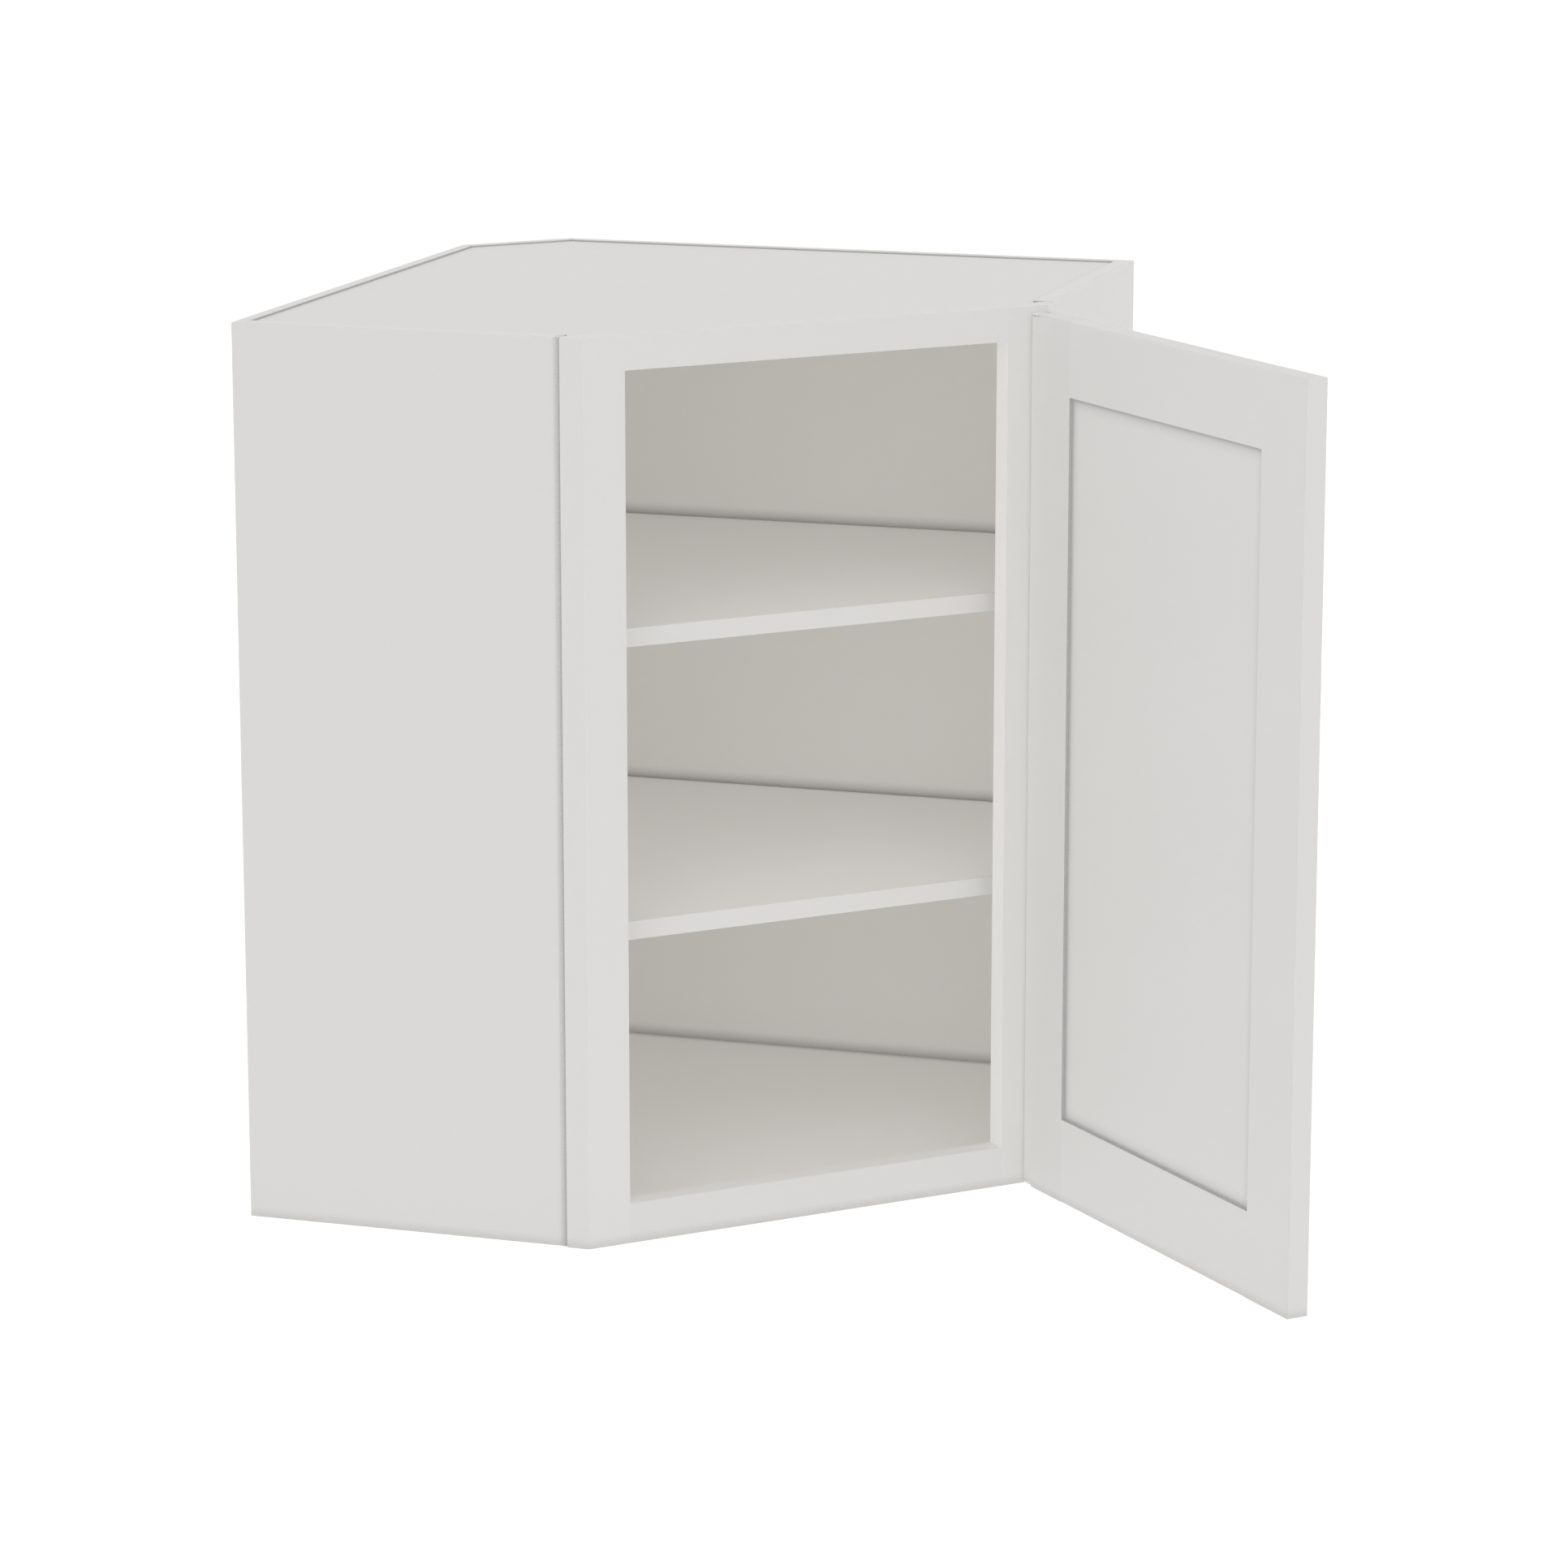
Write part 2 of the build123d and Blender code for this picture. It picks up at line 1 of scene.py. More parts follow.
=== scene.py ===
import bmesh
import bpy
import json
import math
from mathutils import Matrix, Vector

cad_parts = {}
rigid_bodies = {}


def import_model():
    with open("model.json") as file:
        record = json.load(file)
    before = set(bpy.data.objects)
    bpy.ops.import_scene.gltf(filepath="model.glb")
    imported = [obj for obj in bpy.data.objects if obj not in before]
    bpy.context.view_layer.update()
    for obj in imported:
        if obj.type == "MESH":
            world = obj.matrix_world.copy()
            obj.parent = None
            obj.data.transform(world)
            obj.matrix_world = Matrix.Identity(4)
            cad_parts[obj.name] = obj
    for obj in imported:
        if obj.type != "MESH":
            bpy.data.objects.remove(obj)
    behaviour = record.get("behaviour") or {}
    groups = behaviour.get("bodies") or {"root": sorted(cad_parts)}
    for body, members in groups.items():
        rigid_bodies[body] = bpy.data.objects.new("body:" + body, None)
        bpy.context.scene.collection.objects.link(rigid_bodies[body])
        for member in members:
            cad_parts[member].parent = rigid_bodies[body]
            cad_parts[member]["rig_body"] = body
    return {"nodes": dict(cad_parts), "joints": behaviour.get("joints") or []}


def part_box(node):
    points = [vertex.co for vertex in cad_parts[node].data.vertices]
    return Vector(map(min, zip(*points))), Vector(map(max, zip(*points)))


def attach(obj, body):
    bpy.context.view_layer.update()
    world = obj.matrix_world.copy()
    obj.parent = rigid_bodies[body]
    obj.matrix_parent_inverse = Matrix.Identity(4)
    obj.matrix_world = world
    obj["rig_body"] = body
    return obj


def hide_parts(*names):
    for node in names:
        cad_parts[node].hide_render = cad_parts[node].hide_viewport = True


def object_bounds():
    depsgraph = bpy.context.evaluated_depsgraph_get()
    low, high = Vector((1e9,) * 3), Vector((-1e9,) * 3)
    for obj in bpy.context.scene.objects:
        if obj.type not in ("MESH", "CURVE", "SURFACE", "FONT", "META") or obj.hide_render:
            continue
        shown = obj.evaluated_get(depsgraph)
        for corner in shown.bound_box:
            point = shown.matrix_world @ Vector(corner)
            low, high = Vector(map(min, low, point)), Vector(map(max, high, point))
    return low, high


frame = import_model()
cad_low, cad_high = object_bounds()


# ------------------------------------------------------------------ end panels
# Two plywood boards, 16 mm thick, square to the room walls. They are sprayed satin white outside
# and a slightly warmer white inside. Each is glued to a stile of the face frame, and its back
# edge is rebated for a wall panel and left as sawn plywood against the wall.

MM = 0.001
end_board = 16.0 * MM
wall_length = 607.2 * MM
stile_step = 285.4 * MM


def chosen(sockets, key):
    """A socket by its number, identifier or name."""
    if isinstance(key, int):
        return sockets[key]
    for socket in sockets:
        if socket.identifier == key:
            return socket
    return sockets[key]


class Value:
    """A socket that can be used in sums."""

    def __init__(self, graph, socket):
        self.graph = graph
        self.socket = socket

    def output(self, name):
        """Another output of the same node."""
        return Value(self.graph, chosen(self.socket.node.outputs, name))

    def __add__(self, other):
        return self.graph.math("ADD", self, other)

    def __radd__(self, other):
        return self.graph.math("ADD", other, self)

    def __sub__(self, other):
        return self.graph.math("SUBTRACT", self, other)

    def __rsub__(self, other):
        return self.graph.math("SUBTRACT", other, self)

    def __mul__(self, other):
        return self.graph.math("MULTIPLY", self, other)

    def __rmul__(self, other):
        return self.graph.math("MULTIPLY", other, self)

    def __truediv__(self, other):
        return self.graph.math("DIVIDE", self, other)

    def __pow__(self, other):
        return self.graph.math("POWER", self, other)

    def __gt__(self, other):
        return self.graph.math("GREATER_THAN", self, other)

    def __lt__(self, other):
        return self.graph.math("LESS_THAN", self, other)

    def __abs__(self):
        return self.graph.math("ABSOLUTE", self)

    def least(self, other):
        return self.graph.math("MINIMUM", self, other)

    def most(self, other):
        return self.graph.math("MAXIMUM", self, other)

    def sine(self):
        return self.graph.math("SINE", self)

    def fraction(self):
        return self.graph.math("FRACT", self)

    def held(self):
        """The value kept between 0 and 1."""
        return self.most(0.0).least(1.0)


class Graph:
    """A node tree that is written as expressions."""

    def __init__(self, tree):
        self.tree = tree

    def node(self, kind, settings=None, inputs=None, output=0):
        """A node with its settings and the values or links of its sockets."""
        made = self.tree.nodes.new(kind)
        for name, setting in (settings or {}).items():
            setattr(made, name, setting)
        for key, given in (inputs or {}).items():
            socket = chosen(made.inputs, key)
            if isinstance(given, Value):
                self.tree.links.new(given.socket, socket)
            elif socket.type == "RGBA":
                socket.default_value = (*given, 1.0)
            else:
                socket.default_value = given
        return None if output is None else Value(self, chosen(made.outputs, output))

    def math(self, operation, *terms):
        return self.node("ShaderNodeMath", {"operation": operation}, dict(enumerate(terms)))


class Finish(Graph):
    """A material: its tree, its shader and the patterns that finishes share."""

    def __init__(self, name, **constants):
        self.material = bpy.data.materials.new(name)
        self.material.use_nodes = True
        super().__init__(self.material.node_tree)
        self.tree.nodes.clear()
        self.place = self.node("ShaderNodeTexCoord", output="Object")
        self.shader = self.node("ShaderNodeBsdfPrincipled", inputs={
            key.replace("_", " "): value for key, value in constants.items()})
        self.node("ShaderNodeOutputMaterial", inputs={"Surface": self.shader}, output=None)

    def axes(self):
        """The object's own x, y and z."""
        x = self.node("ShaderNodeSeparateXYZ", inputs={0: self.place})
        return x, x.output("Y"), x.output("Z")

    def point(self, x, y, z):
        return self.node("ShaderNodeCombineXYZ", inputs={0: x, 1: y, 2: z})

    def noise(self, scale, detail=2.0, roughness=0.5, place=None, distortion=0.0):
        """Soft noise around 0.5, with so many features in a metre."""
        return self.node("ShaderNodeTexNoise", inputs={
            "Vector": place or self.place, "Scale": scale, "Detail": detail,
            "Roughness": roughness, "Distortion": distortion})

    def blend(self, share, first, second):
        """Two colours mixed by a share between 0 and 1."""
        return self.node("ShaderNodeMix", {"data_type": "RGBA"},
                         {"Factor_Float": share, "A_Color": first, "B_Color": second},
                         "Result_Color")

    def dimmed(self, colour, factor):
        """A colour made lighter or darker by a factor."""
        return self.node("ShaderNodeVectorMath", {"operation": "SCALE"},
                         {0: colour, "Scale": factor})

    def openness(self, reach):
        """1 out in the open, and about a half in a square inner corner."""
        return self.node("ShaderNodeAmbientOcclusion", {"samples": 12},
                         {"Distance": reach}, "AO")

    def bump(self, height, distance, strength=1.0):
        return self.node("ShaderNodeBump", inputs={
            "Height": height, "Distance": distance, "Strength": strength})

    def made(self, **sockets):
        """The material, with values that change over the surface led to its shader."""
        shader_inputs = self.shader.socket.node.inputs
        for key, value in sockets.items():
            self.tree.links.new(value.socket, shader_inputs[key.replace("_", " ")])
        return self.material


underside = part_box("bottom_panel")[0].z
wall_corner = Vector((cad_low.x, cad_high.y, 0.0))
corner_shade_reach = 9.0 * MM


def corner_shade(finish, x, y, z):
    """Painted shade that darkens inner corners."""
    return finish.openness(corner_shade_reach) ** 0.9


low_edge_band = 8.5 * MM
low_side_band = 60.0 * MM
peel_depth = 0.03 * MM


def sprayed(name, colour, warmer, shade_and_lines=corner_shade, gloss=0.48):
    """Satin white lacquer from a spray gun: a faint orange peel, and painted shade darkening the
    lower edge.
    """
    finish = Finish(name, Specular_IOR_Level=0.22)
    x, y, z = finish.axes()
    cloud = finish.noise(6.0, 3.0)
    speck = finish.noise(420.0)
    # Painted shade: the colour darkens over the lowest few millimetres, and faintly higher up.
    low_edge_shade = (1.0 - (z - underside) / low_edge_band).held()
    low_side_shade = (1.0 - (z - underside) / low_side_band).held()
    shade = low_edge_shade * (0.09 + speck * 0.16) + low_side_shade * 0.02
    # The painted shade of corners and joints that is given for this finish darkens the colour too.
    tone = (1.0 + (speck - 0.5) * 0.012 - shade) * shade_and_lines(finish, x, y, z)
    peel = finish.noise(650.0, 2.0) * 0.7 + finish.noise(120.0, 1.0) * 0.3
    return finish.made(
        Base_Color=finish.dimmed(finish.blend(cloud, colour, warmer), tone),
        Roughness=gloss + (finish.noise(90.0, 3.0) - 0.5) * 0.10,
        Normal=finish.bump(peel, peel_depth, 0.35))


step_band = 6.4 * MM


def shade_by_step(finish, x, y, z):
    """Painted shade in corners, and a grainy band of painted shade along the step up to the stile.
    """
    reach = (x - wall_corner.x).least(wall_corner.y - y)
    band = (1.0 - (stile_step - reach) / step_band).held()
    grain = finish.noise(800.0, 1.0)
    # Painted shade beside the stile, which stands proud of the end panel.
    painted_shade = (band * 7.0).held() * (0.03 + grain * 0.10) + band * grain * 0.30
    return corner_shade(finish, x, y, z) * (1.0 - painted_shade)


end_white = sprayed("end_panel_white", (0.704, 0.697, 0.684), (0.700, 0.692, 0.678), shade_by_step)
outside_white = sprayed("sprayed_white", (0.697, 0.690, 0.675), (0.693, 0.685, 0.669))
inside_reach = 11.5 * MM


def inside_shade(finish, x, y, z):
    """Grainy painted shade in the inner corners of the bays."""
    grain = finish.noise(1000.0, 1.0)
    return 1.0 - (1.0 - finish.openness(inside_reach)) * (0.30 + grain)


inside_white = sprayed("inside_white", (0.700, 0.686, 0.665), (0.696, 0.681, 0.658),
                       inside_shade, gloss=0.54)


ply_pair = end_board / 5.5
ply_waver = 0.3
saw_reach = 3.0 * MM
saw_depth = 0.15 * MM


def sawn_plywood(name, across):
    """The sawn edge of a board: eleven plies, every second one end grain and darker, with painted
    shade near inner corners.
    """
    finish = Finish(name, Specular_IOR_Level=0.2)
    x, y, z = finish.axes()
    depth, along = across(x, y, z)
    ply = (depth / ply_pair + finish.noise(30.0) * ply_waver).fraction()
    end_grain = (abs(ply - 0.5) * 8.0 - 1.6).held()
    fibre = finish.noise(1.0, 4.0, 0.7, finish.point(depth * 900.0, 0.0, along * 60.0))
    pore = finish.noise(2600.0, 1.0)
    wood = finish.blend(fibre, (0.58, 0.43, 0.26), (0.70, 0.56, 0.37))
    wood = finish.blend(end_grain, wood, (0.38, 0.26, 0.15))
    # Painted shade darkens the edge near inner corners.
    tone = (1.0 + (pore - 0.5) * 0.5) * finish.openness(saw_reach)
    return finish.made(
        Base_Color=finish.dimmed(wood, tone), Roughness=0.72 + (fibre - 0.5) * 0.2,
        Normal=finish.bump(fibre * 0.5 + pore * 0.5, saw_depth, 0.6))


end_outer = wall_length - wall_corner.x
upright_edge = sawn_plywood("sawn_plywood_upright", lambda x, y, z: (x + y + end_outer, z))


# Points closer than weld are one point, and faces within flat_within of each other one face. An
# edge is eased where it is longer and sharper than the next two, and faces narrower than
# widest_strip are shaded smooth.
weld = 0.002 * MM
flat_within = math.radians(0.3)
shortest_arris = 7.0 * MM
bevelled_from = math.radians(30.0)
widest_strip = 1.2 * MM


def board(node, name, arris, finishes, pick=None, cuts=(), glued=None):
    """A board like a CAD node, with its long arrises eased, that stands for the node.

    pick gives the number of a face's finish from its direction, cuts are heights where an edge
    is divided, and glued tells from a point and a direction which edges lie in a glued joint."""
    shape = bmesh.new()
    shape.from_mesh(frame["nodes"][node].data)
    bmesh.ops.remove_doubles(shape, verts=shape.verts, dist=weld)
    bmesh.ops.dissolve_limit(shape, angle_limit=flat_within, verts=shape.verts,
                             edges=shape.edges)
    for height in cuts:
        everything = [*shape.verts, *shape.edges, *shape.faces]
        bmesh.ops.bisect_plane(shape, geom=everything, plane_co=(0, 0, height),
                               plane_no=(0, 0, 1))
    arrises = []
    for edge in shape.edges:
        run = edge.verts[1].co - edge.verts[0].co
        middle = (edge.verts[0].co + edge.verts[1].co) / 2.0
        if (len(edge.link_faces) == 2 and run.length > shortest_arris and edge.is_convex
                and edge.calc_face_angle() > bevelled_from
                and not (glued and glued(middle, run.normalized()))):
            arrises.append(edge)
    for face in shape.faces:
        face.material_index = pick(face.normal) if pick else 0
    bmesh.ops.bevel(shape, geom=arrises, offset=arris, offset_type="OFFSET", segments=2,
                    profile=0.6, affect="EDGES", clamp_overlap=True, material=-1)
    bmesh.ops.dissolve_degenerate(shape, dist=weld, edges=shape.edges)
    for face in shape.faces:
        face.smooth = face.calc_area() < face.calc_perimeter() / 2.0 * widest_strip
    mesh = bpy.data.meshes.new(name)
    shape.to_mesh(mesh)
    shape.free()
    piece = bpy.data.objects.new(name, mesh)
    bpy.context.scene.collection.objects.link(piece)
    for finish in finishes:
        mesh.materials.append(finish)
    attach(piece, frame["nodes"][node]["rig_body"])
    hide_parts(node)


def facing(inner, wall):
    """Which finish a face gets: 0 outside, 1 inside, 2 against the wall."""
    return lambda normal: 2 if normal.dot(wall) > 0.5 else 1 if normal.dot(inner) > 0.5 else 0


to_left_wall = Vector((-1.0, 0.0, 0.0))
to_rear_wall = Vector((0.0, 1.0, 0.0))
end_arris = 0.5 * MM
end_finishes = (end_white, inside_white, upright_edge)
board("left_end_panel", "end_panel_left", end_arris, end_finishes,
      facing(to_rear_wall, to_left_wall))
board("right_end_panel", "end_panel_right", end_arris, end_finishes,
      facing(to_left_wall, to_rear_wall))


# ------------------------------------------------------------------ wall panels
# Three plywood panels, 10 mm thick, that lie on the room walls and across their corner. They are
# white inside and on their top edges. Against the wall they stay bare rotary-cut veneer, with
# spray mist along the borders where the gun passed by.

side_reach = wall_length - 8.2 * MM
wall_sheet = 10.0 * MM
wall_arris = 0.3 * MM
mist_width = 26.0 * MM
mist_start = 4.0 * MM
mist_drift = 30.0 * MM
pore_depth = 0.12 * MM


def bare_veneer(name):
    """Rotary-cut veneer with its grain upright, and white mist near the panels' borders."""
    finish = Finish(name, Specular_IOR_Level=0.25)
    x, y, z = finish.axes()
    across = x + y - (wall_corner.x + wall_corner.y)
    figure_place = finish.point(across * 5.0, 0.0, z * 0.9)
    swirl = finish.noise(1.0, 3.0, 0.55, figure_place, 1.2)
    rings = (swirl * 55.0).sine() * 0.5 + 0.5
    fibre = finish.noise(1.0, 4.0, 0.65, finish.point(across * 420.0, 0.0, z * 14.0))
    pore = (finish.noise(1.0, 1.0, 0.5, finish.point(across * 1500.0, 0.0, z * 60.0)) - 0.62) * 6.0
    wood = finish.blend(swirl, (0.60, 0.42, 0.25), (0.74, 0.57, 0.37))
    wood = finish.blend(rings * 0.35, wood, (0.52, 0.35, 0.20))
    wood = finish.blend(fibre * 0.5, wood, (0.66, 0.50, 0.32))
    wood = finish.blend(pore.held() * 0.45, wood, (0.33, 0.21, 0.12))
    to_side = side_reach - abs(across)
    to_end = (z - underside).least(cad_high.z - z)
    border = to_side.least(to_end)
    drift = finish.noise(16.0, 3.0) * mist_drift - mist_start
    speckle = finish.noise(900.0, 2.0)
    mist = (1.0 - (border - drift) / mist_width + (speckle - 0.5) * 0.8).held() * 0.85
    # Painted shade darkens the veneer near inner corners.
    tone = finish.openness(saw_reach) ** 0.8
    return finish.made(
        Base_Color=finish.dimmed(finish.blend(mist, wood, (0.70, 0.69, 0.67)), tone),
        Roughness=0.66 + (fibre - 0.5) * 0.18 - mist * 0.08,
        Normal=finish.bump(fibre * 0.6 + rings * 0.2 - pore.held() * 0.5, pore_depth, 0.6))


veneer = bare_veneer("bare_veneer")
wall_finishes = (outside_white, inside_white, veneer)
to_corner = Vector((-1.0, 1.0, 0.0)).normalized()
for node, name, wall in (("left_wall_panel", "wall_panel_left", to_left_wall),
                         ("rear_wall_panel", "wall_panel_rear", to_rear_wall),
                         ("corner_wall_panel", "wall_panel_corner", to_corner)):
    board(node, name, wall_arris, wall_finishes, facing(-wall, wall))


# ------------------------------------------------------------------ top and bottom panels
# Plywood, 16 mm thick, dowelled between the end panels. The top panel lies 1.5 mm below the
# edges around it. Both are sprayed on the side that shows outside.

top_recess = 1.5 * MM
level_arris = 0.2 * MM
top_reach = 6.0 * MM
# Painted shade darkens the top panel along the edges that stand above it.
top_white = sprayed("top_panel_white", (0.690, 0.683, 0.668), (0.686, 0.678, 0.662),
                    lambda finish, x, y, z: finish.openness(top_reach) ** 1.3)
board("top_panel", "top_board", level_arris, (top_white, inside_white),
      lambda normal: 1 if normal.z < -0.5 else 0)
board("bottom_panel", "bottom_board", level_arris, (outside_white, inside_white),
      lambda normal: 1 if normal.z > 0.5 else 0)


# ------------------------------------------------------------------ panel nails
# Bright steel nails with flat heads, driven through the wall panels into the end, top and
# bottom panels. Their heads lie flush with the veneer.


# Points of two rings closer than ring_gap are one point, and so are points closer than sliver
# where a shape has been cut.
ring_gap = 0.001 * MM
sliver = 0.004 * MM


class Template(Graph):
    """A Geometry Nodes tree that is set at points, with its sizes as named inputs."""

    def __init__(self, name, sizes):
        super().__init__(bpy.data.node_groups.new(name, "GeometryNodeTree"))
        sockets = self.tree.interface
        sockets.new_socket("Points", in_out="INPUT", socket_type="NodeSocketGeometry")
        self.sizes = sizes
        self.keys = {}
        for size, value in sizes.items():
            socket = sockets.new_socket(size, in_out="INPUT", socket_type="NodeSocketFloat")
            socket.default_value = value
            self.keys[size] = socket.identifier
        sockets.new_socket("Pieces", in_out="OUTPUT", socket_type="NodeSocketGeometry")
        self.given = self.node("NodeGroupInput")

    def size(self, name):
        return self.given.output(name)

    def moved(self, shape, x=0.0, y=0.0, z=0.0, turn=(0.0, 0.0, 0.0)):
        shift = self.node("ShaderNodeCombineXYZ", inputs={0: x, 1: y, 2: z})
        return self.node("GeometryNodeTransform", inputs={
            "Geometry": shape, "Translation": shift, "Rotation": turn})

    def turned(self, *rings, around=32):
        """A closed turned shape through rings, each a radius and a height on the z axis."""
        walls = []
        for (low_radius, low), (high_radius, high) in zip(rings, rings[1:]):
            cone = self.node("GeometryNodeMeshCone", {"fill_type": "NONE"}, {
                "Vertices": around, "Radius Bottom": low_radius, "Radius Top": high_radius,
                "Depth": high - low})
            walls.append(self.moved(cone, z=low))
        return self.node("GeometryNodeMergeByDistance", inputs={
            "Geometry": self.joined(*walls), "Distance": ring_gap})

    def brick(self, x_size, y_size, z_size):
        sizes = self.node("ShaderNodeCombineXYZ", inputs={0: x_size, 1: y_size, 2: z_size})
        return self.node("GeometryNodeMeshCube", inputs={"Size": sizes})

    def joined(self, *shapes):
        join = self.tree.nodes.new("GeometryNodeJoinGeometry")
        for shape in reversed(shapes):
            self.tree.links.new(shape.socket, join.inputs[0])
        return Value(self, join.outputs[0])

    def cut(self, shape, cutter):
        rest = self.node("GeometryNodeMeshBoolean",
                         {"operation": "DIFFERENCE", "solver": "MANIFOLD"},
                         {"Mesh 1": shape, "Mesh 2": cutter})
        return self.node("GeometryNodeMergeByDistance", inputs={
            "Geometry": rest, "Distance": sliver})

    def set_out(self, shape, finish, upright=False):
        """One shape at each point, its z axis along the point's aim.

        Its y axis points up where the shape stands upright, and otherwise any way."""
        aim = self.node("GeometryNodeInputNamedAttribute", {"data_type": "FLOAT_VECTOR"},
                        {"Name": "aim"})
        turn = self.node("FunctionNodeAlignRotationToVector", {"axis": "Z"}, {"Vector": aim})
        if upright:
            turn = self.node("FunctionNodeAlignRotationToVector",
                             {"axis": "Y", "pivot_axis": "Z"},
                             {"Rotation": turn, "Vector": (0.0, 0.0, 1.0)})
        else:
            angle = self.node("FunctionNodeRandomValue", {"data_type": "FLOAT"},
                              {"Min_001": 0.0, "Max_001": 2.0 * math.pi, "Seed": 7}, "Value_001")
            spin = self.node("FunctionNodeAxisAngleToRotation", inputs={
                "Axis": (0.0, 0.0, 1.0), "Angle": angle})
            turn = self.node("FunctionNodeRotateRotation", {"rotation_space": "LOCAL"},
                             {"Rotation": turn, "Rotate By": spin})
        spread = self.node("GeometryNodeInstanceOnPoints", inputs={
            "Points": self.given, "Instance": shape, "Rotation": turn})
        solid = self.node("GeometryNodeRealizeInstances", inputs={"Geometry": spread})
        self.node("NodeGroupOutput", inputs={0: self.node(
            "GeometryNodeSetMaterial", inputs={"Geometry": solid, "Material": finish})},
            output=None)


sharp_from = 35.0


def set_pieces(name, template, places, node, finish):
    """Pieces of a template at places, each a point and an aim, standing for a CAD node."""
    mesh = bpy.data.meshes.new(name)
    mesh.from_pydata([spot for spot, aim in places], [], [])
    aims = mesh.attributes.new("aim", "FLOAT_VECTOR", "POINT")
    aims.data.foreach_set("vector", [number for spot, aim in places for number in aim])
    mesh.materials.append(finish)
    piece = bpy.data.objects.new(name, mesh)
    bpy.context.scene.collection.objects.link(piece)
    setting = piece.modifiers.new("template", "NODES")
    setting.node_group = template.tree
    for size, value in template.sizes.items():
        setting[template.keys[size]] = value
    seen = piece.evaluated_get(bpy.context.evaluated_depsgraph_get())
    solid = bpy.data.meshes.new_from_object(seen)
    piece.modifiers.clear()
    piece.data = solid
    solid.name = name
    solid.set_sharp_from_angle(angle=math.radians(sharp_from))
    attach(piece, frame["nodes"][node]["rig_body"])
    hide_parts(node)


def steel(name, colour, duller, gloss):
    """Drawn or plated steel: fine streaks, a few dull spots, and painted shade in the recesses."""
    finish = Finish(name, Metallic=1.0)
    fine = finish.noise(1400.0, 3.0)
    dull = finish.noise(160.0, 3.0)
    tone = (1.0 + (fine - 0.5) * 0.10 + (dull - 0.5) * 0.16) * finish.openness(0.8 * MM) ** 0.7
    return finish.made(
        Base_Color=finish.dimmed(finish.blend(dull, colour, duller), tone),
        Roughness=gloss + (dull - 0.5) * 0.16 + (fine - 0.5) * 0.08,
        Normal=finish.bump(fine, 0.01 * MM, 0.3))


nail_steel = steel("bright_nail_steel", (0.56, 0.55, 0.53), (0.50, 0.49, 0.48), 0.34)
sunk = 0.02 * MM
nail = Template("panel_nail", {"Shank radius": 0.8 * MM, "Length": 30.0 * MM, "Tip": 3.2 * MM,
                               "Head radius": 1.7 * MM, "Head thickness": 0.8 * MM})
head_radius, head_thickness = nail.size("Head radius"), nail.size("Head thickness")
shank_radius, length = nail.size("Shank radius"), nail.size("Length")
nail.set_out(nail.turned(
    (0.0, sunk), (head_radius * 0.93, sunk), (head_radius, head_thickness * 0.3),
    (shank_radius, head_thickness), (shank_radius, length - nail.size("Tip")), (0.0, length),
    around=24), nail_steel)

into_left = Vector((1.0, 0.0, 0.0))
into_rear = Vector((0.0, -1.0, 0.0))
into_corner = Vector((1.0, -1.0, 0.0)).normalized()
corner_cut = 76.2 * MM
nail_margin = 60.0 * MM
nails_upright = 5
rebate_middle = wall_length - end_board + 4.0 * MM
levels = (cad_low.z + end_board / 2.0, cad_high.z - top_recess - end_board / 2.0)
first, last = corner_cut + nail_margin, wall_length - end_board - nail_margin
nail_places = []
for height in levels:
    for reach in (first, (first + last) / 2.0, last):
        nail_places.append((wall_corner + Vector((0.0, -reach, height)), into_left))
        nail_places.append((wall_corner + Vector((reach, 0.0, height)), into_rear))
    half = corner_cut / 2.0
    nail_places.append((wall_corner + Vector((half, -half, height)), into_corner))
apart = (cad_high.z - cad_low.z - 2.0 * nail_margin) / (nails_upright - 1)
for step in range(nails_upright):
    height = cad_low.z + nail_margin + apart * step
    nail_places.append((wall_corner + Vector((0.0, -rebate_middle, height)), into_left))
    nail_places.append((wall_corner + Vector((rebate_middle, 0.0, height)), into_rear))
set_pieces("panel_nails", nail, nail_places, "wall_panel_nails", nail_steel)


# ------------------------------------------------------------------ dowels and glue blocks
# Beech dowels join the end panels to the top and bottom panels and the rails to the stiles.
# Three-cornered softwood blocks are glued in the angles between the end panels and the frame.


def bare_wood(name, light, dark, rings_apart):
    """Planed bare wood with its grain upright."""
    finish = Finish(name, Specular_IOR_Level=0.2)
    x, y, z = finish.axes()
    warp = finish.noise(1.0, 2.0, 0.5, finish.point(x * 9.0, y * 9.0, z * 2.0))
    bend = (x * 0.8 + y * 0.6) / rings_apart + warp * 3.0
    rings = (bend * (2.0 * math.pi)).sine() * 0.5 + 0.5
    fibre = finish.noise(1.0, 3.0, 0.6, finish.point(x * 700.0, y * 700.0, z * 25.0))
    wood = finish.blend(rings ** 2.0 * 0.7, light, dark)
    # Painted shade darkens the wood near inner corners.
    tone = (1.0 + (fibre - 0.5) * 0.25) * finish.openness(4.0 * MM)
    return finish.made(
        Base_Color=finish.dimmed(wood, tone), Roughness=0.62 + (fibre - 0.5) * 0.2,
        Normal=finish.bump(fibre, 0.1 * MM, 0.5))


softwood = bare_wood("glue_block_softwood", (0.68, 0.52, 0.33), (0.50, 0.33, 0.17), 3.2 * MM)
beech = bare_wood("dowel_beech", (0.60, 0.42, 0.27), (0.52, 0.35, 0.21), 1.8 * MM)


def refinish(node, finish):
    """A CAD node that keeps its own shape gets its finish."""
    shape = frame["nodes"][node]
    if not shape.material_slots:
        shape.data.materials.append(finish)
    for place in shape.material_slots:
        place.material = finish


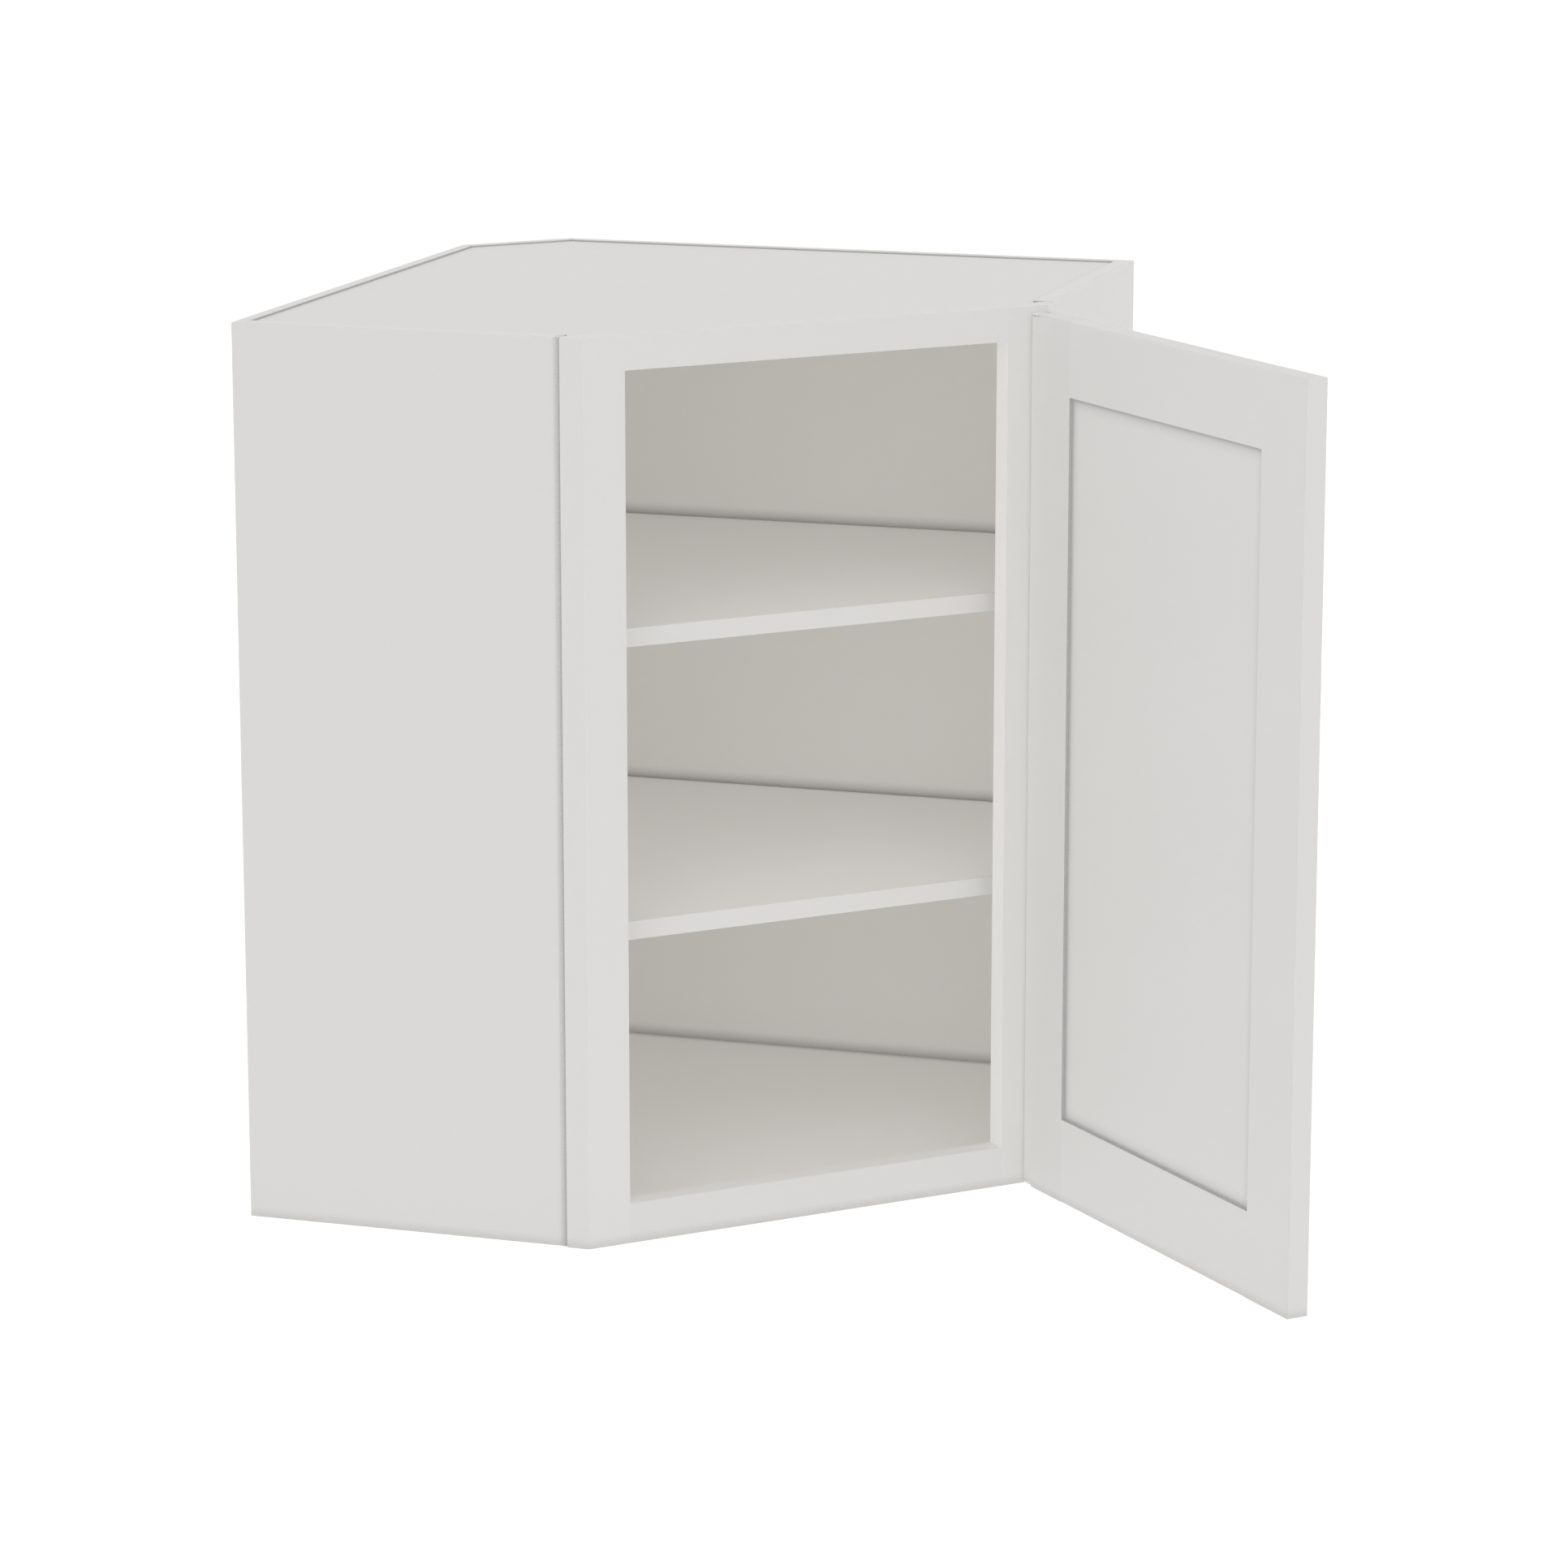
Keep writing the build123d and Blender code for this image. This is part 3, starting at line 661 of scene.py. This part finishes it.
refinish("carcass_dowels", beech)
refinish("frame_dowels", beech)
block_arris = 0.6 * MM
board("left_glue_blocks", "glue_blocks_left", block_arris, (softwood,))
board("right_glue_blocks", "glue_blocks_right", block_arris, (softwood,))


# ------------------------------------------------------------------ face frame
# Two stiles and two rails of hardwood, 19 mm thick, dowelled and sprayed as one. The stiles'
# outer edges are bevelled in line with the end panels and stand 2.4 mm proud of them.

frame_origin = Vector((0.1560, -0.4572, 0.0))
root_half = math.sqrt(0.5)
opening_half = 177.43 * MM
opening_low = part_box("frame_bottom_rail")[1].z
opening_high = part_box("frame_top_rail")[0].z
frame_arris = 0.25 * MM
line_width = 0.10 * MM
line_depth = 0.06
close_by = 0.3 * MM
edge_within = 0.05 * MM


def front_x(x, y):
    """Distance right of the frame's middle, from a point in the room."""
    return (x - frame_origin.x + y - frame_origin.y) * root_half


def front_y(x, y):
    """Distance behind the frame's face."""
    return (y - frame_origin.y - x + frame_origin.x) * root_half


def hairline(z, offset, half_width, low, high):
    """A fine line in the lacquer where rails meet stiles, above and below an opening."""
    line = (1.0 - abs(abs(offset) - half_width) / line_width).held()
    return line * (abs(z - (low + high) / 2.0) > (high - low) / 2.0)


def frame_lines_and_light(finish, x, y, z):
    """Hairlines at the joints; painted shade on the bottom rail and the right stile, and painted
    light on the opening's inner edges and the bevels.
    """
    from_middle = front_x(x, y)
    lines = hairline(z, from_middle, opening_half, opening_low, opening_high) * line_depth
    # Painted shade: the bottom rail and the stile beside the open door are darker.
    painted_frame_shade = (opening_low > z) * (opening_half > abs(from_middle)) * 0.03
    painted_frame_shade = painted_frame_shade + (from_middle > opening_half) * 0.015
    beside_opening = (z > opening_low) * (opening_high > z)
    # Painted light: the opening's inner edges and the stiles' bevels are lighter.
    inner_edge_light = (edge_within > abs(abs(from_middle) - opening_half)) * beside_opening * 0.17
    behind_face = front_y(x, y) > close_by
    bevel = behind_face * (abs(from_middle) > opening_half + 1.0 * MM) * 0.014
    return 1.0 - lines - painted_frame_shade + inner_edge_light + bevel


frame_white = sprayed("frame_white", (0.699, 0.692, 0.677), (0.695, 0.687, 0.671), frame_lines_and_light)


def in_frame_joint(middle, run):
    """Edges of a rail or stile that lie in the joint between them."""
    at_joint = abs(abs(front_x(middle.x, middle.y)) - opening_half) < close_by
    beside_opening = opening_low < middle.z < opening_high
    return at_joint and not (beside_opening and abs(run.z) > 0.9)


for node, name in (("frame_left_stile", "frame_stile_left"),
                   ("frame_right_stile", "frame_stile_right"),
                   ("frame_top_rail", "frame_rail_top"),
                   ("frame_bottom_rail", "frame_rail_bottom")):
    board(node, name, frame_arris, (frame_white,),
          cuts=(opening_low, opening_high), glued=in_frame_joint)


# ------------------------------------------------------------------ door
# A framed door of the same hardwood: stiles, rails grooved and tongued together, and a flat
# panel held loose in the grooves by soft spacers. It hangs on pivots in the ends of its
# hinge stile, and stands open at rest.

door_middle = -213.63 * MM
panel_half = 148.03 * MM
panel_low = -317.6 * MM
panel_high = 302.8 * MM
panel_middle = (panel_low + panel_high) / 2.0
panel_margin = 2.0 * MM
door_arris = 0.25 * MM
recess_reach = 12.0 * MM


def along_door(x, y):
    """Distance along the open door from its middle."""
    return front_y(x, y) - door_middle


def door_lines_and_shade(finish, x, y, z):
    """Hairlines at the joints, painted shade along the recess of the panel, and painted shade on
    the hinge side.
    """
    lines = hairline(z, along_door(x, y), panel_half, panel_low, panel_high) * line_depth
    side = panel_half + panel_margin - abs(along_door(x, y))
    end = panel_high - panel_middle + panel_margin - abs(z - panel_middle)
    grain = finish.noise(1000.0, 1.0)
    # Painted shade: grainy darkening along the recess of the panel, and a darker hinge side.
    painted_shade = (1.0 - (finish.openness(recess_reach) ** 1.7).most(0.62)) * (0.40 + grain)
    hinge_side_shade = (along_door(x, y) > panel_half) * 0.025
    return 1.0 - lines - hinge_side_shade - painted_shade * (side.least(end) > 0.0)


door_white = sprayed("door_white", (0.692, 0.685, 0.670), (0.688, 0.680, 0.664), door_lines_and_shade)


def in_door_joint(middle, run):
    at_joint = abs(abs(along_door(middle.x, middle.y)) - panel_half) < close_by
    beside_panel = panel_low < middle.z < panel_high
    return at_joint and not (beside_panel and abs(run.z) > 0.9)


for node, name in (("door_hinge_stile", "door_stile_hinge"),
                   ("door_free_stile", "door_stile_free"),
                   ("door_top_rail", "door_rail_top"),
                   ("door_bottom_rail", "door_rail_bottom")):
    board(node, name, door_arris, (door_white,),
          cuts=(panel_low, panel_high), glued=in_door_joint)
refinish("door_panel", door_white)


def soft_rubber(name):
    finish = Finish(name, Specular_IOR_Level=0.3)
    bloom = finish.noise(300.0, 3.0)
    return finish.made(
        Base_Color=finish.blend(bloom, (0.035, 0.034, 0.033), (0.075, 0.073, 0.070)),
        Roughness=0.75 + (bloom - 0.5) * 0.2, Normal=finish.bump(bloom, 0.05 * MM, 0.5))


refinish("door_panel_spacers", soft_rubber("spacer_rubber"))


# ------------------------------------------------------------------ pivot hinges
# At the top and the bottom a bent steel leaf is let into the right stile and holds a steel pin,
# both powder-coated white. The pin turns in a flanged nylon bush in the end of the door. Two
# cross-recessed screws hold each leaf.


def powder_coat(name):
    finish = Finish(name, Specular_IOR_Level=0.5)
    pebble = finish.node("ShaderNodeTexVoronoi", {"feature": "SMOOTH_F1"},
                         {"Vector": finish.place, "Scale": 1400.0})
    cloud = finish.noise(60.0, 2.0)
    # Painted shade darkens the coat in its recesses.
    tone = (1.0 + (cloud - 0.5) * 0.04) * finish.openness(1.5 * MM) ** 0.3
    white = finish.blend(cloud, (0.70, 0.69, 0.67), (0.68, 0.67, 0.65))
    return finish.made(
        Base_Color=finish.dimmed(white, tone), Roughness=0.42 + (pebble - 0.4) * 0.15,
        Normal=finish.bump(pebble, 0.04 * MM, 0.6))


def nylon(name):
    finish = Finish(name, Subsurface_Weight=0.08)
    flow = finish.noise(90.0, 3.0, distortion=1.5)
    fine = finish.noise(900.0, 2.0)
    return finish.made(
        Base_Color=finish.blend(flow, (0.72, 0.71, 0.66), (0.67, 0.66, 0.61)),
        Roughness=0.40 + (fine - 0.5) * 0.12, Normal=finish.bump(fine, 0.02 * MM, 0.4))


hinge_white = powder_coat("hinge_powder_coat")
bush_nylon = nylon("bush_nylon")
zinc = steel("zinc_plate", (0.63, 0.63, 0.61), (0.56, 0.57, 0.58), 0.32)
for end in ("top", "bottom"):
    refinish(end + "_hinge_leaf", hinge_white)
    refinish(end + "_hinge_pin", hinge_white)
    refinish(end + "_hinge_bush", bush_nylon)

screw = Template("hinge_screw", {"Shank radius": 1.6 * MM, "Length": 15.0 * MM, "Point": 3.0 * MM,
                                 "Head radius": 3.05 * MM, "Head height": 1.6 * MM,
                                 "Recess length": 3.4 * MM, "Recess width": 0.8 * MM,
                                 "Recess depth": 1.1 * MM})
core_radius = screw.size("Shank radius") * 0.7
head_height, length = screw.size("Head height"), screw.size("Length")
blank = screw.turned(
    (0.0, sunk), (screw.size("Head radius"), sunk), (core_radius, head_height),
    (core_radius, length - screw.size("Point")), (0.0, length))
recess_length, recess_width = screw.size("Recess length"), screw.size("Recess width")
first_slot = screw.brick(recess_length, recess_width, screw.size("Recess depth") * 2.0)
second_slot = screw.brick(recess_width, recess_length, screw.size("Recess depth") * 2.0)
helix = screw.node("GeometryNodeCurveSpiral", inputs={
    "Resolution": 14, "Rotations": 9.0, "Start Radius": core_radius,
    "End Radius": core_radius, "Height": length - 5.0 * MM})
ridge = screw.node("GeometryNodeCurvePrimitiveCircle", {"mode": "RADIUS"},
                   {"Resolution": 3, "Radius": screw.size("Shank radius") * 0.28})
thread = screw.node("GeometryNodeCurveToMesh", inputs={
    "Curve": helix, "Profile Curve": ridge, "Fill Caps": True})
thread = screw.moved(thread, z=head_height + 0.6 * MM)
screw.set_out(screw.joined(screw.cut(screw.cut(blank, first_slot), second_slot), thread), zinc)

pivot = Vector(frame["joints"][0]["pos_m"])
into_stile = Vector((-root_half, root_half, 0.0))
to_face = -front_y(pivot.x, pivot.y)
screw_places = []
for from_tab in (11.0 * MM, 31.0 * MM):
    for level in (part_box("bottom_hinge_leaf")[0].z + from_tab,
                  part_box("top_hinge_leaf")[1].z - from_tab):
        screw_places.append((Vector((pivot.x, pivot.y, level)) + into_stile * to_face, into_stile))
set_pieces("leaf_screws", screw, screw_places, "hinge_screws", zinc)


# ------------------------------------------------------------------ shelves
# Two loose plywood shelves, white above and below, with a white strip glued to the straight
# front edge. Their other edges stay as sawn, 2 mm clear of the walls.

level_edge = sawn_plywood("sawn_plywood_level", lambda x, y, z: (z, x - y))
shelf_white = sprayed("shelf_white", (0.722, 0.711, 0.693), (0.718, 0.706, 0.686), gloss=0.50)
strip_white = sprayed("strip_white", (0.700, 0.693, 0.678), (0.696, 0.688, 0.672), gloss=0.44)
shelf_arris = 0.3 * MM
for shelf in ("lower_shelf", "upper_shelf"):
    board(shelf, shelf + "_board", shelf_arris, (shelf_white, level_edge),
          lambda normal: 0 if abs(normal.z) > 0.5 else 1)
    board(shelf + "_edging", shelf + "_strip", shelf_arris, (strip_white,))


# ------------------------------------------------------------------ shelf pins
# Zinc-plated spoon pins: a stub in a bore, a round collar against the panel and a flat tongue
# under the shelf. Six carry each shelf.

pin = Template("shelf_pin", {"Stub radius": 2.5 * MM, "Stub length": 8.0 * MM,
                             "Collar radius": 4.0 * MM, "Collar thickness": 1.2 * MM,
                             "Tongue length": 9.0 * MM, "Tongue width": 8.0 * MM,
                             "Tongue thickness": 2.5 * MM, "Chamfer": 0.5 * MM})
stub_radius, stub_length, chamfer = map(pin.size, ("Stub radius", "Stub length", "Chamfer"))
collar_radius, thickness = pin.size("Collar radius"), pin.size("Collar thickness")
stub = pin.turned(
    (0.0, thickness * -1.0), (collar_radius - thickness * 0.2, thickness * -1.0),
    (collar_radius, thickness * -0.8), (collar_radius, 0.0), (stub_radius, 0.0),
    (stub_radius, stub_length - chamfer), (stub_radius - chamfer, stub_length),
    (0.0, stub_length))
half_width, tongue = pin.size("Tongue width") / 2.0, pin.size("Tongue thickness")
straight = pin.size("Tongue length") - half_width
plate = pin.brick(half_width * 2.0, tongue, straight)
plate = pin.moved(plate, y=tongue / 2.0, z=straight / -2.0)
under, over = sunk / 2.0, tongue - sunk / 2.0
nose = pin.turned((0.0, under), (half_width, under), (half_width, over), (0.0, over), around=48)
nose = pin.moved(nose, z=straight * -1.0, turn=(-math.pi / 2.0, 0.0, 0.0))
pin.set_out(pin.joined(stub, plate, nose), zinc, upright=True)

out_of_left = Vector((0.0, -1.0, 0.0))
out_of_right = Vector((1.0, 0.0, 0.0))
end_inner = wall_length - end_board
from_wall = 50.0 * MM
from_front = stile_step - 50.0 * MM
beside_corner = 120.0 * MM
for shelf in ("lower", "upper"):
    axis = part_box(shelf + "_shelf")[0].z - pin.sizes["Tongue thickness"]
    pin_places = [(Vector((wall_sheet, -beside_corner, axis)), to_left_wall),
                  (Vector((beside_corner, -wall_sheet, axis)), to_rear_wall)]
    for reach in (from_wall, from_front):
        pin_places.append((Vector((reach, -end_inner, axis)), out_of_left))
        pin_places.append((Vector((end_inner, -reach, axis)), out_of_right))
    set_pieces("shelf_pins_" + shelf, pin, [(wall_corner + spot, aim) for spot, aim in pin_places],
               shelf + "_shelf_pins", zinc)


# ------------------------------------------------------------------ light, floor and camera
# Even white light from all around, two weak soft lamps from above, and fill lamps that cast no
# shadow, one of them inside each bay. A plain pale floor lies well below the cabinet, which
# hangs on its wall, and the camera stands at the photograph's angle.

dome_level = 0.643
floor_light = dome_level


def lamp(name, kind, strength, casts=False):
    light = bpy.data.lights.new(name, kind)
    light.energy = strength
    light.use_shadow = casts
    light.cycles.use_multiple_importance_sampling = casts
    place = bpy.data.objects.new(name, light)
    bpy.context.scene.collection.objects.link(place)
    return place


sun_softness = math.radians(60.0)
for name, toward, level, casts in (
        ("soft_front", (0.28, -0.80, 0.55), 0.178, True),
        ("soft_top", (0.0, 0.0, 1.0), 0.072, True),
        ("fill_left", (-1.0, 0.0, 0.0), 0.173, False),
        ("fill_facing", (1.0, -1.0, 0.0), 0.10, False),
        ("fill_right", (1.0, 0.0, 0.0), 0.05, False),
        ("fill_back", (0.0, 1.0, -0.4), 0.10, False),
        ("fill_top", (0.0, 0.0, 1.0), 0.10, False),
        ("fill_low", (0.0, 0.0, -1.0), 0.20, False)):
    sun = lamp(name, "SUN", level * math.pi, casts)
    sun.data.angle = sun_softness
    sun.rotation_euler = Vector(toward).to_track_quat("Z", "Y").to_euler()
    floor_light += level * max(0.0, Vector(toward).normalized().z)

# Each lamp in a bay hangs behind the middle of the frame, and lights near and far alike.
behind_frame = 100.0 * MM
bay_lamp_size = 20.0 * MM
for bay, height, strength in (("low", -259.0 * MM, 0.77), ("middle", -11.0 * MM, 0.81),
                              ("high", 237.0 * MM, 0.99)):
    inner = lamp("fill_bay_" + bay, "POINT", strength)
    inner.data.shadow_soft_size = bay_lamp_size
    inner.location = frame_origin + Vector((-behind_frame, behind_frame, 0.0)) * root_half
    inner.location.z = height
    inner.data.use_nodes = True
    inner.data.node_tree.nodes.clear()
    beam = Graph(inner.data.node_tree)
    even = beam.node("ShaderNodeLightFalloff", inputs={"Strength": 1.0}, output="Constant")
    given = beam.node("ShaderNodeEmission", inputs={"Strength": even})
    beam.node("ShaderNodeOutputLight", inputs={"Surface": given}, output=None)


def looked_at(graph):
    """1 for rays from the camera and rays that polished things send on."""
    ray = graph.node("ShaderNodeLightPath", output="Is Camera Ray")
    return (ray + ray.output("Is Glossy Ray") + ray.output("Is Transmission Ray")).held()


world = bpy.data.worlds.new("even_light")
world.use_nodes = True
world.node_tree.nodes.clear()
sky = Graph(world.node_tree)
white = sky.node("ShaderNodeBackground", inputs={
    "Color": (1.0, 1.0, 1.0), "Strength": looked_at(sky) * (1.0 - dome_level) + dome_level})
sky.node("ShaderNodeOutputWorld", inputs={"Surface": white}, output=None)
bpy.context.scene.world = world

floor_white = 0.80
floor_glow = 1.0 - floor_white * floor_light
floor_drop = 1370.0 * MM
floor_level = cad_low.z - floor_drop
floor_half = 30000.0 * MM
floor_mesh = bpy.data.meshes.new("floor")
corners = ((-1, -1), (1, -1), (1, 1), (-1, 1))
floor_mesh.from_pydata([(x * floor_half, y * floor_half, floor_level) for x, y in corners],
                       [], [(0, 1, 2, 3)])
floor = bpy.data.objects.new("floor", floor_mesh)
bpy.context.scene.collection.objects.link(floor)
floor_mesh.materials.append(bpy.data.materials.new("pale_floor"))
floor_mesh.materials[0].use_nodes = True
floor_mesh.materials[0].node_tree.nodes.clear()
pale = Graph(floor_mesh.materials[0].node_tree)
matt = pale.node("ShaderNodeBsdfDiffuse", inputs={"Color": (floor_white,) * 3})
glow = pale.node("ShaderNodeEmission", inputs={"Strength": looked_at(pale) * floor_glow})
both = pale.node("ShaderNodeAddShader", inputs={0: matt, 1: glow})
pale.node("ShaderNodeOutputMaterial", inputs={"Surface": both}, output=None)

camera_data = bpy.data.cameras.new("photograph_view")
camera_data.lens = 126.216
camera = bpy.data.objects.new("photograph_view", camera_data)
camera.location = (1.47821, -4.72615, 0.99446)
camera.rotation_euler = (1.348230, 0.0, 0.306944)
bpy.context.scene.collection.objects.link(camera)
bpy.context.scene.camera = camera
bpy.context.scene.view_settings.view_transform = "Standard"
